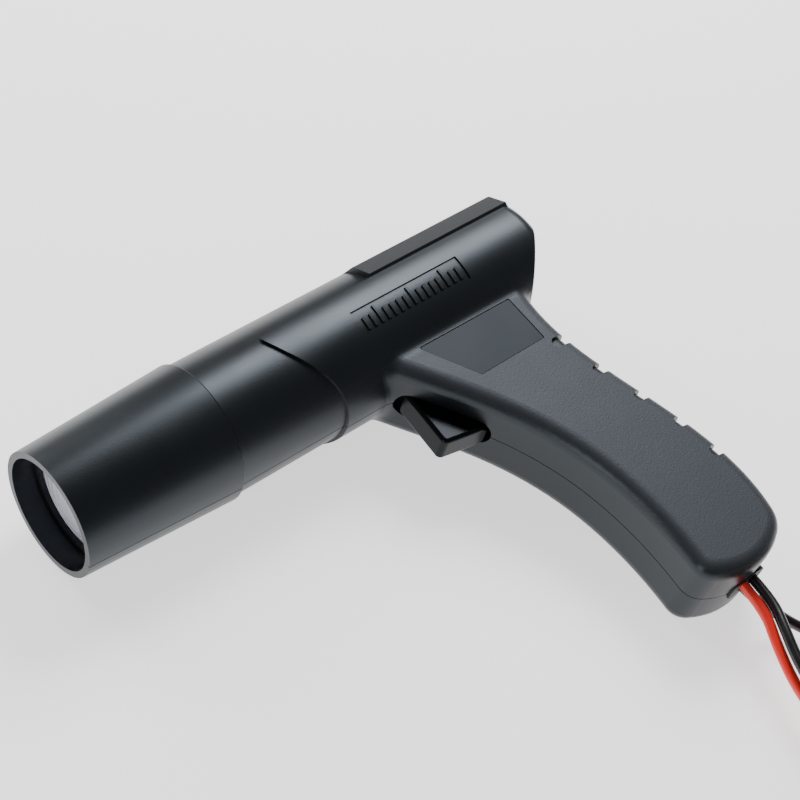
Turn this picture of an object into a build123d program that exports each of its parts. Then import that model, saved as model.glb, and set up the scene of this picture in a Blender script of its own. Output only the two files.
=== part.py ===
from build123d import *
from math import asin, atan2, cos, degrees, hypot, pi, radians, sin, tan
import os

os.makedirs("parts", exist_ok=True)

# Inductive xenon timing gun, laid on its right side with three leads.
# Every size is in millimetres.
# Gun frame: X runs back from the muzzle along the barrel's axis, Y points to the
# gun's top, Z points out of its left side, and Z = 0 is the parting plane.

# ---------------------------------------------------------------- barrel
barrel_length = 203.0
muzzle_radius = 22.2
hood_radius = 25.1
hood_length = 58.3
tube_radius = 24.0
body_radius = 25.1
wall = 2.4
rear_round = 5.0
hood_edge = 0.7
past_rear = barrel_length + 12.0

# raised side panels of the rear body, with their curved front edge
panel_top = 9.2
panel_front = 87.5
panel_edge = [(88.3, 0.3), (93.6, -8.6), (99.5, -17.8)]

# sighting rail along the top
rail_start = 135.0
rail_end = barrel_length - 2.2
rail_top = 26.04
rail_corner = (17.6, 19.5)
rail_foot = (9.9, 24.2)
rail_round = 1.2

# sunk marking panel with raised graduation bars, on the left side
marking_start = 117.5
marking_length = 48.5
marking_height = 9.4
marking_depth = 0.6
marking_bars = 15
marking_bar_width = 1.1

# ---------------------------------------------------------------- grip
grip_half = 17.5
grip_bottom = -146.5
grip_edge_round = 5.5
valley_round = 7.0
toe_round = 8.0
heel_round = 12.0
notch_height = 4.4
notch_run = 26.0
notch_low = 3.0
notch_depth = 1.5

# label, stuck in a shallow recess on the left of the grip
label_thickness = 0.4
label_recess = 0.6
label_margin = 0.25

# ---------------------------------------------------------------- lamp
lens_radius = 19.6
lens_edge = 2.4
lens_bulge = 3.0
lens_back = 13.0
ledge_width = 2.2
ledge_height = 2.4
retainer_width = 2.0
retainer_radius = 18.4
reflector_length = 28.0
reflector_neck = 6.5
reflector_wall = 1.2
flash_tube_diameter = 4.0
flash_tube_pitch = 9.0
flash_tube_reach = 24.0
holder_radius = 10.0
holder_length = 8.0

# ---------------------------------------------------------------- electronics
board_start = 82.0
board_length = 98.0
board_width = 30.0
board_thickness = 1.6
board_level = -8.0

# ---------------------------------------------------------------- trigger and switch
trigger_half = 5.4
trigger_round = 1.4
trigger_outline = [(125.4, -24.5), (123.8, -50.0), (141.4, -53.2), (145.0, -49.5), (135.6, -21.5)]
pivot_x = 131.0
pivot_y = -21.5
pin_diameter = 3.0
pin_length = 24.0
slot_gap = 0.6

# ---------------------------------------------------------------- case screws
screw_diameter = 3.0
screw_head = 5.6
screw_head_height = 2.0
screw_length = 20.0
boss_radius = 3.6
case_screws = [(72.0, -15.5), (72.0, 15.5), (186.0, 14.0), (172.0, -62.0), (167.0, -124.0)]

# ---------------------------------------------------------------- joint between the half shells
seam_gap = 0.3
seam_depth = 0.9

# ---------------------------------------------------------------- general fits
sliding_gap = 0.3
running_gap = 0.05
seat_gap = 0.1

# ---------------------------------------------------------------- leads
lead_diameter = 3.8
lead_pitch = 4.7
lead_exit_x = 176.7
lead_upper = 1.6
lead_lower = -2.6
grommet_out = 0.2
grommet_in = 7.0
wire_diameter = 1.8
lamp_wire_radius = 0.7

# each lead is wound into a flat round coil of two layers; the coils lie on each other
coil_turns_across = 4
coil_middle_radius = 21.0
coil_x = 94.0
coil_y = -158.0

# ---------------------------------------------------------------- battery clips
clip_length = 56.0
clip_width = 9.0
clip_plate = 1.1
clip_height = 12.0
clip_pin = 3.0
clip_x = 164.0
red_clip_y = -202.0
black_clip_y = -128.0

# ---------------------------------------------------------------- inductive pickup clamp
pickup_half_length = 36.0
pickup_height = 20.0
pickup_bore = 14.0
pickup_bore_x = 20.0
ferrite_wall = 4.0
ferrite_height = 14.0
pickup_pin = 4.0
pickup_x = 170.0
pickup_y = -166.0

# ---------------------------------------------------------------- how the gun lies
# It rests on the hood's rear edge, the rear body's side and the end of its grip, so
# it is rolled about the barrel's axis until the grip's rounded end meets the floor.
grip_round_y = grip_bottom + grip_edge_round
grip_round_z = grip_half - grip_edge_round
grip_reach = hypot(grip_round_y, grip_round_z)
rest_tilt = degrees(
    asin((body_radius - grip_edge_round) / grip_reach) - atan2(grip_round_z, -grip_round_y)
)
gun_low_y = grip_bottom * cos(radians(rest_tilt)) - grip_round_z * sin(radians(rest_tilt))
gun_mid_y = (rail_top * cos(radians(rest_tilt)) + gun_low_y) / 2
rest_place = Location((-barrel_length / 2, -gun_mid_y, body_radius))
rest_pose = rest_place * Location((0, 0, 0), (rest_tilt, 0, 0))


def save(name, solid):
    """Label a finished piece and write it to its own file."""
    solid.label = name
    export_step(solid, "parts/" + name + ".step")


def save_in_gun(name, solid):
    """Write a piece of the gun, moved from the gun frame to where the gun lies."""
    save(name, rest_pose * solid)


# ================================================================ outer form
# turned profiles are drawn on a plane leaning away from the parting plane
turning_plane = Plane.XY.rotated((50, 0, 0))


def barrel_form(inset):
    """Hood, tube and rear end as one turned form, taken in by inset; the cavity runs out of the muzzle."""
    front = -1.0 if inset else 0.0
    hood_slope = (hood_radius - muzzle_radius) / hood_length
    step = hood_length - inset
    rear = barrel_length - inset
    rear_corner = max(rear_round - inset, 1.0)
    with BuildPart() as form:
        with BuildSketch(turning_plane):
            with BuildLine():
                Polyline(
                    (front, 0),
                    (front, muzzle_radius + front * hood_slope - inset),
                    (step - hood_edge, hood_radius - inset - hood_edge * hood_slope),
                    (step, hood_radius - inset - hood_edge),
                    (step, tube_radius - inset),
                    (rear - rear_corner, tube_radius - inset),
                )
                corner_end = (rear, tube_radius - inset - rear_corner)
                RadiusArc((rear - rear_corner, tube_radius - inset), corner_end, rear_corner)
                Polyline(corner_end, (rear, 0), (front, 0))
            make_face()
        revolve(axis=Axis.X)
    return form.part


def side_panels(inset):
    """Raised sides of the rear body, behind a curved front edge and below the rail."""
    rear = barrel_length - inset
    radius = body_radius - inset
    corner = max(rear_round - inset, 1.0)
    with BuildPart() as panels:
        with BuildSketch(turning_plane):
            with BuildLine():
                Polyline((60, 0), (60, radius), (rear - corner, radius))
                RadiusArc((rear - corner, radius), (rear, radius - corner), corner)
                Polyline((rear, radius - corner), (rear, 0), (60, 0))
            make_face()
        revolve(axis=Axis.X)
        with BuildSketch(Plane.XY):
            with BuildLine():
                edge = Spline((panel_front - 1.5, panel_top - 3), *panel_edge, (103, -28))
                top_middle = (panel_front - 1.4, panel_top - 0.8)
                top = ThreePointArc(edge @ 0, top_middle, (panel_front + 0.6, panel_top))
                Polyline(top @ 1, (past_rear, panel_top), (past_rear, -28), edge @ 1)
            make_face()
        extrude(amount=30, both=True, mode=Mode.INTERSECT)
    return panels.part


def rail_form(inset):
    """Sighting rail: a block with flat slanted sides and a shallow roof."""
    left = [(5.0, 22.0), (panel_top, 23.6), rail_foot, rail_corner]
    right = [(y, -z) for y, z in reversed(left)]
    with BuildPart() as rail:
        with BuildSketch(Plane.YZ.offset(rail_start)):
            with BuildLine():
                Polyline(*left, (rail_top, 0), *right, close=True)
            make_face()
            if inset:
                offset(amount=-inset, kind=Kind.INTERSECTION)
        extrude(amount=rail_end - inset - rail_start)
        if not inset:
            fillet(rail.edges().filter_by(Axis.X).sort_by(Axis.Y)[-3:-1], rail_round)
            fillet(rail.faces().sort_by(Axis.X)[-1].edges(), rail_round * 0.6)
    return rail.part


def inset_points(curve, inset, side, count=9):
    """Points along a curve, moved sideways by inset and stopped short of its end by as much."""
    reach = 1 - inset / curve.length
    points = []
    for i in range(count):
        at = reach * i / (count - 1)
        along = curve % at
        points.append(curve @ at + Vector(-along.Y, along.X) * side * inset)
    return points


def grip_outline(inset):
    """Side outline of the grip, taken in by inset; its top stays inside the barrel."""
    front_points = [(112, -8), (126.5, -30), (142.4, -54.5), (152.9, -78), (158.2, -106), (157, -139)]
    back_points = [(190, -8), (184.2, -34), (192.6, -75), (200, -108), (197, -139)]
    front_edge = Edge.make_spline([Vector(*point) for point in front_points])
    back_edge = Edge.make_spline([Vector(*point) for point in back_points])
    with BuildSketch(Plane.XY) as outline:
        with BuildLine():
            front = Spline(*inset_points(front_edge, inset, 1))
            back = Spline(*inset_points(back_edge, inset, -1))
            Line(front @ 0, back @ 0)
            ThreePointArc(front @ 1, (177, grip_bottom + inset), back @ 1)
        make_face()
        low_corners = outline.vertices().sort_by(Axis.Y)[0:2].sort_by(Axis.X)
        fillet(low_corners[0], toe_round - inset)
        fillet(outline.vertices().sort_by(Axis.X)[-1], heel_round - inset)
    return outline.sketch


def grip_form(inset):
    """Grip block with rounded side edges, taken in by inset."""
    with BuildPart() as grip:
        with BuildSketch(Plane.XY):
            add(grip_outline(inset))
        extrude(amount=grip_half - inset, both=True)
        rims = grip.edges().group_by(Axis.Z)
        fillet(rims[0] + rims[-1], grip_edge_round - inset)
    return grip.part


def gun_form(inset):
    """The whole outside of the gun, taken in by inset."""
    slant_x = 184.4 - inset
    with BuildPart() as form:
        add(barrel_form(inset))
        add(side_panels(inset))
        add(rail_form(inset))
        # below, the rear end slants forward to the back of the grip
        with BuildSketch(Plane.XY):
            with BuildLine():
                slant = [(barrel_length - inset, -2), (slant_x, -28), (slant_x, -40)]
                Polyline(*slant, (past_rear, -40), (past_rear, -2), close=True)
            make_face()
        extrude(amount=40, both=True, mode=Mode.SUBTRACT)
        add(grip_form(inset))
        if not inset:
            # soft valley where the grip's flat side meets the barrel
            sides = form.edges().filter_by(Axis.X).filter_by(lambda e: e.center().Y < -16)
            fillet(sides.filter_by(lambda e: abs(abs(e.center().Z) - grip_half) < 0.5), valley_round)
    return form.part


outer_form = gun_form(0)
middle_form = gun_form(seam_depth)
inner_form = gun_form(wall)

# groove that shows along the parting line, as deep as the middle form is inset
with BuildPart() as seam_groove:
    with Locations((barrel_length / 2, -60, 0)):
        Box(barrel_length + 40, 220, seam_gap)
    add(middle_form, mode=Mode.SUBTRACT)


def hood_inside(x):
    """Inner radius of the hood at x."""
    return muzzle_radius + (hood_radius - muzzle_radius) * x / hood_length - wall


# ================================================================ trigger's slot and travel
slot_top = (123.6, -25.0)
slot_bottom = (143.0, -54.6)
slot_length = hypot(slot_bottom[0] - slot_top[0], slot_bottom[1] - slot_top[1])
slot_along = ((slot_bottom[0] - slot_top[0]) / slot_length, (slot_bottom[1] - slot_top[1]) / slot_length)
slot_plane = Plane(
    origin=((slot_top[0] + slot_bottom[0]) / 2, (slot_top[1] + slot_bottom[1]) / 2, 0),
    x_dir=(slot_along[0], slot_along[1], 0),
    z_dir=(slot_along[1], -slot_along[0], 0),
)

# ================================================================ half shells
boss_left_radius = 3.4
boss_right_radius = screw_head / 2 + 2.0
screw_seat = -(screw_length - 12.0)
bulkhead_x = 48.6
bulkhead_width = 2.4
switch_x = 152.5
switch_length = 16.0
switch_y = -42.0
switch_height = 14.0
switch_half = 6.0
board_posts = [(board_start + 5, 11.0), (board_start + 5, -11.0), (board_start + board_length - 8, -11.0)]
post_radius = 2.6
grommet_x = lead_exit_x + lead_pitch / 2
grommet_length = 16.0
grommet_half = 5.4
grommet_neck = grip_bottom + wall + 1.2


def grommet_body(length, half, low, high):
    """Rounded block of the lead grommet between two levels of Y."""
    with BuildPart() as body:
        with BuildSketch(Plane.XZ.offset(-high)):
            with Locations((grommet_x, 0)):
                RectangleRounded(length, 2 * half, half * 0.8)
        extrude(amount=high - low)
    return body.part


def half_of(form, side):
    """The part of a form that lies on one side of the parting plane."""
    with BuildPart() as half:
        add(form)
        split(bisect_by=Plane.XY, keep=Keep.TOP if side > 0 else Keep.BOTTOM)
    return half.part


def shell_ribs(side):
    """Ledge, bulkhead, bosses and posts inside one shell, cut to run into its wall."""
    with BuildPart() as ribs:
        # ledge behind the lens and bulkhead round the lamp holder
        for x, width, opening in (
            (lens_back, ledge_width, hood_inside(lens_back) - ledge_height),
            (bulkhead_x, bulkhead_width, holder_radius + seat_gap),
        ):
            with BuildSketch(Plane.YZ.offset(x)):
                Circle(hood_inside(x) + wall / 2)
                Circle(opening, mode=Mode.SUBTRACT)
            extrude(amount=width)
        # screw bosses and the bosses for the trigger's pin
        boss_radius = boss_left_radius if side > 0 else boss_right_radius
        for x, y in case_screws:
            with Locations((x, y, side * 15)):
                Cylinder(boss_radius, 30)
        pin_boss_start = trigger_half + sliding_gap
        with Locations((pivot_x, pivot_y, side * (pin_boss_start + 15))):
            Cylinder(pin_diameter / 2 + 2.2, 30)
        # saddle for the switch
        with Locations((switch_x + switch_length / 2, switch_y, side * (switch_half + 8))):
            Box(switch_length - 6, 9, 16)
        if side < 0:
            for x, y in board_posts:
                with Locations((x, y, board_level - 10)):
                    Cylinder(post_radius, 20)
        add(middle_form, mode=Mode.INTERSECT)
    return half_of(ribs.part, side)


def half_shell(side):
    """One moulded half: side is 1 for the left half and -1 for the right."""
    with BuildPart() as shell:
        add(half_of(outer_form, side))
        add(seam_groove.part, mode=Mode.SUBTRACT)
        add(inner_form, mode=Mode.SUBTRACT)
        add(shell_ribs(side))
        # trigger slot
        with BuildSketch(slot_plane):
            SlotOverall(slot_length, 2 * (trigger_half + slot_gap))
        extrude(amount=7, both=True, mode=Mode.SUBTRACT)
        # screw holes
        for x, y in case_screws:
            if side > 0:
                with Locations((x, y, 7)):
                    Cylinder(screw_diameter / 2 - 0.2, 14.5, mode=Mode.SUBTRACT)
            else:
                with Locations((x, y, -15)):
                    Cylinder(screw_diameter / 2 + 0.2, 31, mode=Mode.SUBTRACT)
                with Locations((x, y, screw_seat - 15)):
                    Cylinder(screw_head / 2 + 0.3, 30, mode=Mode.SUBTRACT)
        # blind holes for the trigger's pin
        with Locations((pivot_x, pivot_y, 0)):
            Cylinder(pin_diameter / 2, pin_length, mode=Mode.SUBTRACT)
        if side < 0:
            for x, y in board_posts:
                with Locations((x, y, board_level - 4)):
                    Cylinder(1.0, 8.4, mode=Mode.SUBTRACT)
        # opening for the lead grommet
        add(grommet_body(grommet_length, grommet_half, grip_bottom - 5, grommet_neck), mode=Mode.SUBTRACT)
        # finger notches down the back of the grip
        add(notch_cutter(side), mode=Mode.SUBTRACT)
        if side > 0:
            with BuildSketch(Plane.XY.offset(grip_half - label_recess)):
                with BuildLine():
                    Polyline(*label_corners, close=True)
                make_face()
                fillet(vertices(), 0.6)
            extrude(amount=5, mode=Mode.SUBTRACT)
            add(marking_cutter(), mode=Mode.SUBTRACT)
    return shell.part


label_corners = [(133.6, -20.2), (176.2, -20.6), (175.9, -40.2), (145.6, -40.2)]
notch_ends = [(176.4, -44.1), (181.2, -60.4), (186.4, -76.3), (191.0, -91.9), (193.4, -107.3)]


def notch_cutter(side):
    """Slots from the plate over the back edge of one half, as deep as the grip form is inset."""
    with BuildPart() as cutter:
        with BuildSketch(Plane.XY.offset(side * notch_low)):
            for x, y in notch_ends:
                with Locations((x + notch_run / 2, y)):
                    SlotOverall(notch_run, notch_height)
        extrude(amount=side * 20)
        add(grip_form(notch_depth), mode=Mode.SUBTRACT)
    return cutter.part


def marking_cutter():
    """Ring sector sunk into the rear body, less the graduation bars that stand in it."""
    with BuildPart() as cutter:
        with BuildSketch(Plane.YZ.offset(marking_start)):
            Circle(body_radius + 2)
            Circle(body_radius - marking_depth, mode=Mode.SUBTRACT)
        extrude(amount=marking_length)
        with Locations((marking_start + marking_length / 2, -marking_height / 2, 20)):
            Box(marking_length, marking_height, 40, mode=Mode.INTERSECT)
        pitch = marking_length / (marking_bars + 1)
        for i in range(marking_bars):
            tall = marking_height * (0.74 if i % 5 == 2 else 0.5)
            with Locations((marking_start + pitch * (i + 1), -marking_height + 1.2 + tall / 2, 20)):
                Box(marking_bar_width, tall, 40, mode=Mode.SUBTRACT)
    return cutter.part


left_shell = half_shell(1)
save_in_gun("left_shell", left_shell)
right_shell = half_shell(-1)
save_in_gun("right_shell", right_shell)

# ================================================================ screws and label
with BuildPart() as screws:
    for x, y in case_screws:
        with Locations((x, y, screw_seat + screw_length / 2)):
            Cylinder(screw_diameter / 2 - 0.2, screw_length)
        with Locations((x, y, screw_seat - screw_head_height / 2)):
            Cylinder(screw_head / 2, screw_head_height)
        with Locations((x, y, screw_seat - screw_head_height)):
            Box(3.2, 0.7, 1.6, mode=Mode.SUBTRACT)
            Box(0.7, 3.2, 1.6, mode=Mode.SUBTRACT)
save_in_gun("case_screws", screws.part)

with BuildPart() as label:
    with BuildSketch(Plane.XY.offset(grip_half - label_recess)):
        with BuildLine():
            Polyline(*label_corners, close=True)
        make_face()
        offset(amount=-label_margin)
        fillet(vertices(), 0.6)
    extrude(amount=label_thickness)
save_in_gun("label_plate", label.part)

# ================================================================ lamp
with BuildPart() as lens:
    sphere_radius = (lens_radius**2 + lens_bulge**2) / (2 * lens_bulge)
    with BuildSketch(Plane.XY):
        with BuildLine():
            rim = (lens_back - lens_edge, lens_radius)
            bulge = RadiusArc((lens_back - lens_edge - lens_bulge, 0), rim, sphere_radius)
            Polyline(bulge @ 1, (lens_back, lens_radius), (lens_back, 0), bulge @ 0)
        make_face()
    revolve(axis=Axis.X)
save_in_gun("lens", lens.part)

with BuildPart() as retainer:
    with BuildSketch(Plane.YZ.offset(lens_back - lens_edge - retainer_width)):
        Circle(hood_inside(lens_back - lens_edge - retainer_width) - seat_gap)
        Circle(retainer_radius, mode=Mode.SUBTRACT)
    extrude(amount=retainer_width)
    with Locations((lens_back - lens_edge - lens_bulge + sphere_radius, 0, 0)):
        Sphere(sphere_radius, mode=Mode.SUBTRACT)
save_in_gun("lens_retainer", retainer.part)

reflector_rim = hood_inside(lens_back) - ledge_height + 1.0
with BuildPart() as reflector:
    front_x = lens_back + ledge_width
    with BuildSketch(Plane.XY):
        with BuildLine():
            bowl_points = [(0, reflector_rim), (14, reflector_rim * 0.76), (reflector_length, reflector_neck)]
            bowl = ThreePointArc(*[(front_x + x, r) for x, r in bowl_points])
            back = ThreePointArc(*[(front_x + x, r + reflector_wall) for x, r in bowl_points])
            Line(bowl @ 0, back @ 0)
            Line(bowl @ 1, back @ 1)
        make_face()
    revolve(axis=Axis.X)
save_in_gun("reflector", reflector.part)

holder_front = bulkhead_x - 1.2
with BuildPart() as holder:
    with BuildSketch(Plane.YZ.offset(bulkhead_x)):
        Circle(holder_radius)
    extrude(amount=holder_length)
    with BuildSketch(Plane.YZ.offset(holder_front)):
        Circle(holder_radius + 2)
    extrude(amount=bulkhead_x - holder_front)
    with Locations(*[Location((bulkhead_x, s * flash_tube_pitch / 2, 0), (0, 90, 0)) for s in (-1, 1)]):
        Cylinder(flash_tube_diameter / 2, 30, mode=Mode.SUBTRACT)
save_in_gun("lamp_holder", holder.part)

with BuildPart() as flash_tube:
    half = flash_tube_pitch / 2
    bend_x = bulkhead_x - flash_tube_reach
    with BuildLine():
        leg = Line((bulkhead_x + holder_length, -half, 0), (bend_x, -half, 0))
        bend = ThreePointArc(leg @ 1, (bend_x - half, 0, 0), (bend_x, half, 0))
        Line(bend @ 1, (bulkhead_x + holder_length, half, 0))
    with BuildSketch(Plane(origin=(bulkhead_x + holder_length, -half, 0), z_dir=(-1, 0, 0))):
        Circle(flash_tube_diameter / 2)
    sweep()
save_in_gun("flash_tube", flash_tube.part)

# ================================================================ electronics
with BuildPart() as board:
    with Locations((board_start + board_length / 2, 0, board_level + board_thickness / 2)):
        Box(board_length, board_width, board_thickness)
    fillet(board.edges().filter_by(Axis.Z), 1.5)
    for x, y in board_posts:
        with Locations((x, y, board_level)):
            Cylinder(1.2, 10, mode=Mode.SUBTRACT)
save_in_gun("circuit_board", board.part)

board_top = board_level + board_thickness
with BuildPart() as board_screws:
    for x, y in board_posts:
        with Locations((x, y, board_top + 0.9)):
            Cylinder(2.3, 1.8)
        with Locations((x, y, board_top - 3.0)):
            Cylinder(0.95, 6.0)
save_in_gun("board_screws", board_screws.part)


def on_board(name, x, y, size, corner=0.6):
    """A block-shaped component that stands on the board."""
    with BuildPart() as block:
        with Locations((x, y, board_top + size[2] / 2)):
            Box(*size)
        fillet(block.edges().filter_by(Axis.Z), corner)
    save_in_gun(name, block.part)


on_board("trigger_coil", board_start + 17, 0, (13, 14, 13))
on_board("transformer_bobbin", board_start + 65, 2, (11, 22, 15))
with BuildPart() as core:
    with Locations((board_start + 65, 2, board_top + 7.5)):
        Box(21, 17, 12)
        Box(11, 22, 16, mode=Mode.SUBTRACT)
save_in_gun("transformer_core", core.part)
with BuildPart() as storage_capacitor:
    with Locations(Location((board_start + 40, 3, board_top + 8), (0, 90, 0))):
        Cylinder(8, 25)
    fillet(storage_capacitor.edges(), 0.9)
save_in_gun("storage_capacitor", storage_capacitor.part)
with BuildPart() as small_capacitors:
    for i in range(3):
        with Locations((board_start + 30 + 9 * i, -10.5, board_top + 4)):
            Box(6.5, 3, 8)
save_in_gun("small_capacitors", small_capacitors.part)
with BuildPart() as heat_sink:
    with Locations((board_start + 84, 3, board_top + 6)):
        Box(2, 18, 12)
    for i in range(4):
        with Locations((board_start + 87.5, -4.5 + 5 * i, board_top + 6)):
            Box(5, 1.2, 12)
save_in_gun("heat_sink", heat_sink.part)
on_board("power_transistor", board_start + 80.75, 3, (4.5, 10, 14), 0.4)
with BuildPart() as resistors:
    for i in range(4):
        with Locations(Location((board_start + 12 + 8 * i, 11.8, board_top + 1.3), (90, 0, 0))):
            Cylinder(1.2, 5)
save_in_gun("resistors", resistors.part)

# ================================================================ trigger
with BuildPart() as trigger:
    with BuildSketch(Plane.XY):
        with BuildLine():
            Polyline(*trigger_outline, close=True)
        make_face()
        fillet(vertices().sort_by(Axis.X)[0], 2.2)
    extrude(amount=trigger_half, both=True)
    rims = trigger.edges().group_by(Axis.Z)
    fillet(rims[0] + rims[-1], trigger_round)
    with BuildSketch(slot_plane):
        with Locations((-0.4, 0)):
            SlotOverall(slot_length - 1.8, 2 * trigger_half)
    extrude(amount=40, both=True, mode=Mode.INTERSECT)
    # flange that stops against the inside of the shell's front wall
    flange = slot_plane.offset(-wall - 1.0)
    with BuildSketch(flange):
        with Locations((9, 0)):
            Rectangle(14, 2 * trigger_half + 4)
    extrude(amount=-1.6)
    with Locations((pivot_x, pivot_y, 0)):
        Cylinder(4.5, 2 * trigger_half)
    with Locations((pivot_x, pivot_y, 0)):
        Cylinder(pin_diameter / 2 + running_gap, 40, mode=Mode.SUBTRACT)
save_in_gun("trigger", trigger.part)

with BuildPart() as trigger_pin:
    with Locations((pivot_x, pivot_y, 0)):
        Cylinder(pin_diameter / 2, pin_length)
save_in_gun("trigger_pin", trigger_pin.part)

# ================================================================ switch
plunger_front = 144.8
plunger_radius = 2.3
plunger_stroke = 4.8
collar_radius = 4.0
collar_width = 1.0
plunger_length = 13.0
with BuildPart() as switch_body:
    with Locations((switch_x + switch_length / 2, switch_y, 0)):
        Box(switch_length, switch_height, 2 * switch_half)
    fillet(switch_body.edges().filter_by(Axis.Z), 0.8)
    bore = plunger_front + plunger_length + plunger_stroke + 1 - switch_x
    with Locations(Location((switch_x + bore / 2, switch_y, 0), (0, 90, 0))):
        Cylinder(plunger_radius + running_gap, bore, mode=Mode.SUBTRACT)
    with Locations((switch_x + switch_length + 1.5, switch_y, 0)):
        with GridLocations(3, 8, 1, 2):
            Box(3, 0.8, 3)
save_in_gun("switch_body", switch_body.part)

with BuildPart() as plunger:
    with Locations(Location((plunger_front + plunger_length / 2, switch_y, 0), (0, 90, 0))):
        Cylinder(plunger_radius, plunger_length)
    with Locations(Location((plunger_front + collar_width / 2, switch_y, 0), (0, 90, 0))):
        Cylinder(collar_radius, collar_width)
save_in_gun("switch_plunger", plunger.part)

spring_wire = 0.6
spring_start = plunger_front + collar_width + spring_wire / 2 + 0.1
spring_length = switch_x - spring_wire / 2 - 0.05 - spring_start
with BuildPart() as plunger_spring:
    with BuildLine():
        start = (spring_start, switch_y, 0)
        coil_line = Helix(spring_length / 4.5, spring_length, plunger_radius + 0.9, start, (1, 0, 0))
    with BuildSketch(Plane(origin=coil_line @ 0, z_dir=coil_line % 0)):
        Circle(spring_wire / 2)
    sweep(is_frenet=True)
save_in_gun("plunger_spring", plunger_spring.part)

# ================================================================ leads, grommet and inner wires
lead_places = {
    "red": (lead_exit_x, lead_upper),
    "black": (lead_exit_x + lead_pitch, lead_upper),
    "pickup": (lead_exit_x + lead_pitch / 2, lead_lower),
}
grommet_low = grip_bottom - grommet_out
grommet_high = grip_bottom + grommet_in
with BuildPart() as grommet:
    add(grommet_body(grommet_length + 3, grommet_half + 1.5, grommet_neck, grommet_high))
    add(inner_form, mode=Mode.INTERSECT)
    add(grommet_body(grommet_length, grommet_half, grommet_low, grommet_neck))
save_in_gun("lead_grommet", grommet.part)

# wires run from the grommet up the back of the grip to the board
wire_routes = [(180.5, -124), (186.5, -104), (184, -78), (178.5, -56), (176.5, -38), (178.5, -22)]
with BuildPart() as inner_wires:
    for i, (x, z) in enumerate(lead_places.values()):
        level = 3.2 * (i - 1)
        points = [(x, grommet_high, z), (x, grommet_high + 6, z)]
        points += [(px, py, level) for px, py in wire_routes]
        points += [(board_start + board_length - 3, -6 + 3 * i, board_top + wire_diameter / 2)]
        with BuildLine() as line:
            FilletPolyline(*points, radius=2.5)
        with BuildSketch(Plane(origin=points[0], z_dir=(0, 1, 0))):
            Circle(wire_diameter / 2)
        sweep(path=line.line)
save_in_gun("inner_wires", inner_wires.part)

with BuildPart() as lamp_wires:
    for s in (-1, 1):
        start = (bulkhead_x + holder_length, s * flash_tube_pitch / 2, 0)
        points = [start, (start[0] + 5, start[1], 0), (start[0] + 14, s * 3.0, -4)]
        points += [(board_start + 3, s * 3.0, board_top + lamp_wire_radius)]
        with BuildLine() as line:
            FilletPolyline(*points, radius=2.5)
        with BuildSketch(Plane(origin=start, z_dir=(1, 0, 0))):
            Circle(lamp_wire_radius)
        sweep(path=line.line)
save_in_gun("lamp_wires", lamp_wires.part)

coil_levels = {"pickup": 0.0, "red": 2 * lead_diameter, "black": 4 * lead_diameter}
coil_inner = coil_middle_radius - coil_turns_across * lead_diameter / 2
coil_outer = coil_middle_radius + coil_turns_across * lead_diameter / 2
outer_turn = coil_outer - lead_diameter / 2


def exit_point(name):
    """Where a lead leaves its grommet, with the gun lying at rest."""
    x, z = lead_places[name]
    moved = rest_pose * Location((x, grommet_low, z))
    return tuple(moved.position)


def coil_point(name, angle, layer):
    """Point on the outer turn of a coil, at an angle in degrees, on layer 0 or 1."""
    level = coil_levels[name] + lead_diameter * (layer + 0.5)
    return (coil_x + outer_turn * cos(radians(angle)), coil_y + outer_turn * sin(radians(angle)), level)


def run_radii(points):
    """Bend radius at each inner point: 0.45 of the shorter run over the tangent of half the turn."""
    radii = []
    for before, here, after in zip(points, points[1:], points[2:]):
        run_in = Vector(*here) - Vector(*before)
        run_out = Vector(*after) - Vector(*here)
        turn = radians(run_in.get_angle(run_out))
        radii.append(0.45 * min(run_in.length, run_out.length) / tan(turn / 2))
    return radii


def lead_tube(points, title):
    """Tube of a lead along straight runs joined by tangent arcs."""
    radii = run_radii(points)
    with BuildPart() as tube:
        with BuildLine() as line:
            FilletPolyline(*points, radius=radii)
        with BuildSketch(Plane(origin=points[0], z_dir=line.line % 0)):
            Circle(lead_diameter / 2)
        sweep(path=line.line)
    path_length = sum(edge.length for edge in line.edges())
    ideal = pi * lead_diameter**2 / 4 * path_length
    print(title, "length", round(path_length, 1), "volume ratio", round(tube.part.volume / ideal, 4))
    print("  radii", [round(r, 1) for r in radii])
    return tube.part, path_length


# hand-set points of each lead between its grommet and its coil
lead_runs = {
    "red": [
        (74.9, -97.5, 17.4), (70.6, -107.5, 14.8), (65.8, -121.5, 12.2),
        (64.6, -134.5, 10.3), (66.3, -147, 9.6),
    ],
    "black": [
        (79.2, -96.5, 18.6), (74.7, -105.2, 19.0), (68.3, -118.5, 18.2),
        (65.2, -132.5, 17.4), (65.7, -146, 17.2),
    ],
    "pickup": [
        (78.3, -93.5, 13.6), (82.6, -98.2, 10.4), (90.2, -106.9, 4.6),
        (98.9, -117.5, 2.0), (108.4, -130.3, 1.9),
    ],
}
# and between its coil and what is on its end
tail_runs = {
    "red": [(102, -184.9, 12.6), (112, -188.5, 10), (120, -197, 7.8), (125.5, -206.6, 6.4)],
    "black": [(121.2, -149.5, 19.6), (122.2, -141.8, 15), (127.4, -136.6, 9.2)],
    "pickup": [(122.4, -158.5, 5.4), (123.8, -167.5, 6.8), (127, -174.6, 8.8)],
}
coil_ways_in = {"red": 180, "black": 180, "pickup": 35}
coil_ways_out = {"red": 270, "black": 0, "pickup": 15}
clip_end = -clip_length / 2 - clip_plate
clip_handle = 8.9
pickup_handle = 12.8
tail_ends = {
    "red": (clip_x + clip_end, red_clip_y - clip_handle, clip_height / 2),
    "black": (clip_x + clip_end, black_clip_y - clip_handle, clip_height / 2),
    "pickup": (pickup_x - pickup_half_length, pickup_y - pickup_handle, pickup_height / 2),
}

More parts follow.
